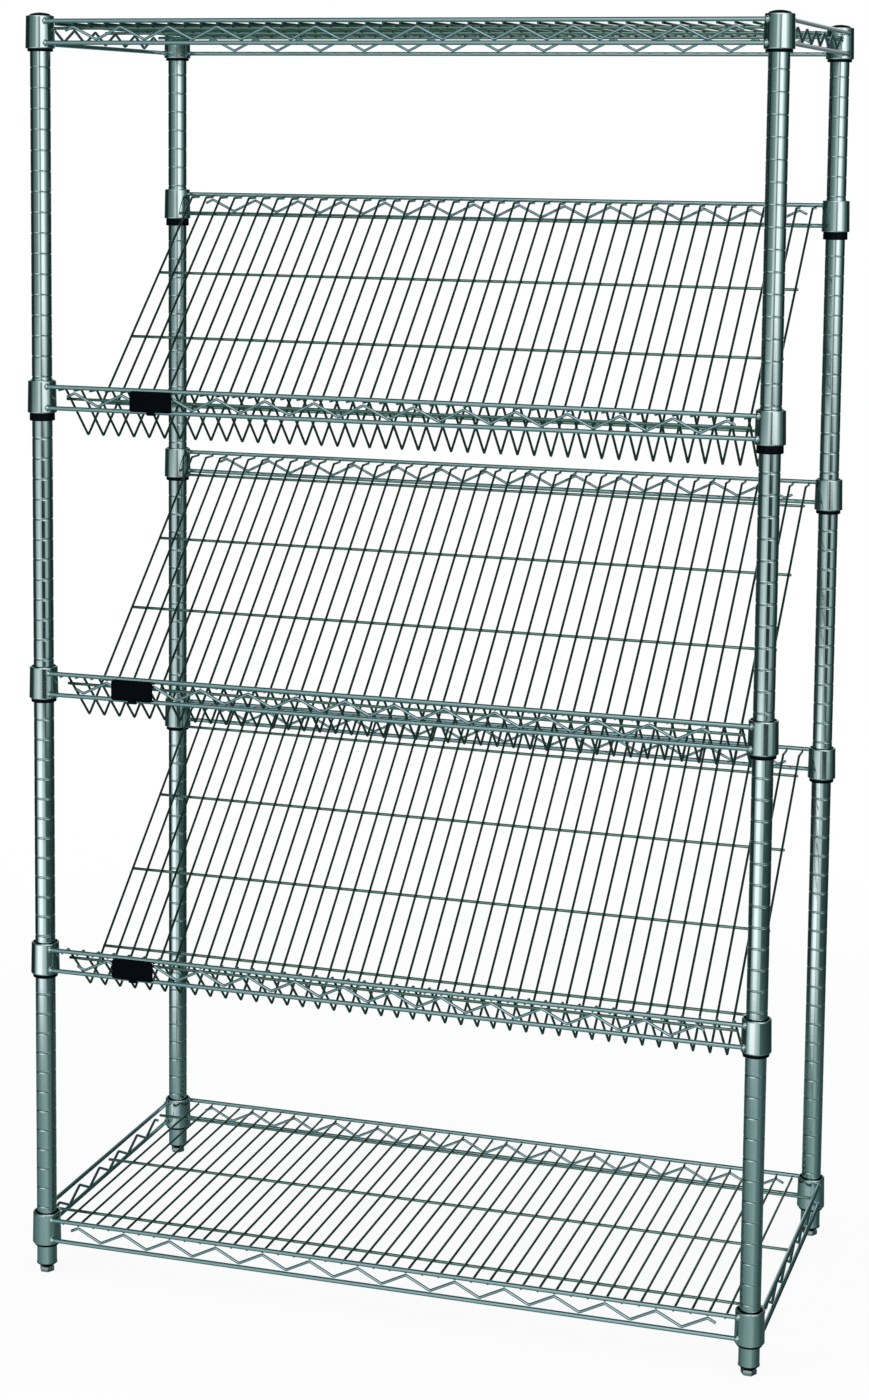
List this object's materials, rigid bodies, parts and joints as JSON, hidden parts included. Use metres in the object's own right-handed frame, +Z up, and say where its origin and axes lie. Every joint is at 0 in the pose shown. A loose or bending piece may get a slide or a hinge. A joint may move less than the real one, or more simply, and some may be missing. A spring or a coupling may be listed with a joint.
{
  "type": "wire bread rack",
  "caption": "Free-standing chromed wire rack with flat shelves and slanted, V-fronted wire trays that sit on tapered sleeves on grooved posts with levelling feet.",
  "frame": {"origin": "on the floor, in the middle of the footprint", "axes": "+X along the width, +Y to the high rear edge of the slanted trays, +Z up"},
  "size_m": [0.9508, 0.468, 1.6036],
  "materials": {
    "chrome": "polished chrome plate on steel tube and wire",
    "black_plastic": "moulded, slightly glossy",
    "zinc_steel": "zinc plated"
  },
  "bodies": {
    "posts": {"post_front_left": "chrome", "post_front_right": "chrome", "post_rear_left": "chrome", "post_rear_right": "chrome", "post_caps": "black_plastic", "foot_inserts": "black_plastic", "bottom_shelf_sleeves": "black_plastic", "top_shelf_sleeves": "black_plastic", "lower_tray_sleeves": "black_plastic", "middle_tray_sleeves": "black_plastic", "upper_tray_sleeves": "black_plastic"},
    "bottom_shelf": {"bottom_shelf_collars": "chrome", "bottom_shelf_front_rails": "chrome", "bottom_shelf_rear_rails": "chrome", "bottom_shelf_side_rails": "chrome", "bottom_shelf_front_truss": "chrome", "bottom_shelf_rear_truss": "chrome", "bottom_shelf_side_trusses": "chrome", "bottom_shelf_deck_wires": "chrome", "bottom_shelf_cross_wires": "chrome"},
    "top_shelf": {"top_shelf_collars": "chrome", "top_shelf_front_rails": "chrome", "top_shelf_rear_rails": "chrome", "top_shelf_side_rails": "chrome", "top_shelf_front_truss": "chrome", "top_shelf_rear_truss": "chrome", "top_shelf_side_trusses": "chrome", "top_shelf_deck_wires": "chrome", "top_shelf_cross_wires": "chrome"},
    "lower_tray": {"lower_tray_collars": "chrome", "lower_tray_front_rails": "chrome", "lower_tray_rear_rails": "chrome", "lower_tray_front_truss": "chrome", "lower_tray_rear_truss": "chrome", "lower_tray_wires": "chrome", "lower_tray_cross_wires": "chrome", "lower_tray_label_holder": "black_plastic"},
    "middle_tray": {"middle_tray_collars": "chrome", "middle_tray_front_rails": "chrome", "middle_tray_rear_rails": "chrome", "middle_tray_front_truss": "chrome", "middle_tray_rear_truss": "chrome", "middle_tray_wires": "chrome", "middle_tray_cross_wires": "chrome", "middle_tray_label_holder": "black_plastic"},
    "upper_tray": {"upper_tray_collars": "chrome", "upper_tray_front_rails": "chrome", "upper_tray_rear_rails": "chrome", "upper_tray_front_truss": "chrome", "upper_tray_rear_truss": "chrome", "upper_tray_wires": "chrome", "upper_tray_cross_wires": "chrome", "upper_tray_label_holder": "black_plastic"},
    "levelling_foot_front_left": {"levelling_foot_front_left": "zinc_steel"},
    "levelling_foot_front_right": {"levelling_foot_front_right": "zinc_steel"},
    "levelling_foot_rear_left": {"levelling_foot_rear_left": "zinc_steel"},
    "levelling_foot_rear_right": {"levelling_foot_rear_right": "zinc_steel"}
  },
  "joints": [
    {"name": "bottom_shelf_lift", "type": "slide", "parent": "posts", "child": "bottom_shelf", "axis": [0, 0, 1], "range_m": [0, 0.27]},
    {"name": "lower_tray_lift", "type": "slide", "parent": "posts", "child": "lower_tray", "axis": [0, 0, 1], "range_m": [0, 0.3]},
    {"name": "middle_tray_lift", "type": "slide", "parent": "posts", "child": "middle_tray", "axis": [0, 0, 1], "range_m": [0, 0.3]},
    {"name": "upper_tray_lift", "type": "slide", "parent": "posts", "child": "upper_tray", "axis": [0, 0, 1], "range_m": [0, 0.165]},
    {"name": "top_shelf_lift", "type": "slide", "parent": "posts", "child": "top_shelf", "axis": [0, 0, 1], "range_m": [0, 0.04]},
    {"name": "front_left_foot_screw", "type": "slide", "parent": "posts", "child": "levelling_foot_front_left", "axis": [0, 0, 1], "range_m": [-0.018, 0]},
    {"name": "front_right_foot_screw", "type": "slide", "parent": "posts", "child": "levelling_foot_front_right", "axis": [0, 0, 1], "range_m": [-0.018, 0]},
    {"name": "rear_left_foot_screw", "type": "slide", "parent": "posts", "child": "levelling_foot_rear_left", "axis": [0, 0, 1], "range_m": [-0.018, 0]},
    {"name": "rear_right_foot_screw", "type": "slide", "parent": "posts", "child": "levelling_foot_rear_right", "axis": [0, 0, 1], "range_m": [-0.018, 0]}
  ]
}
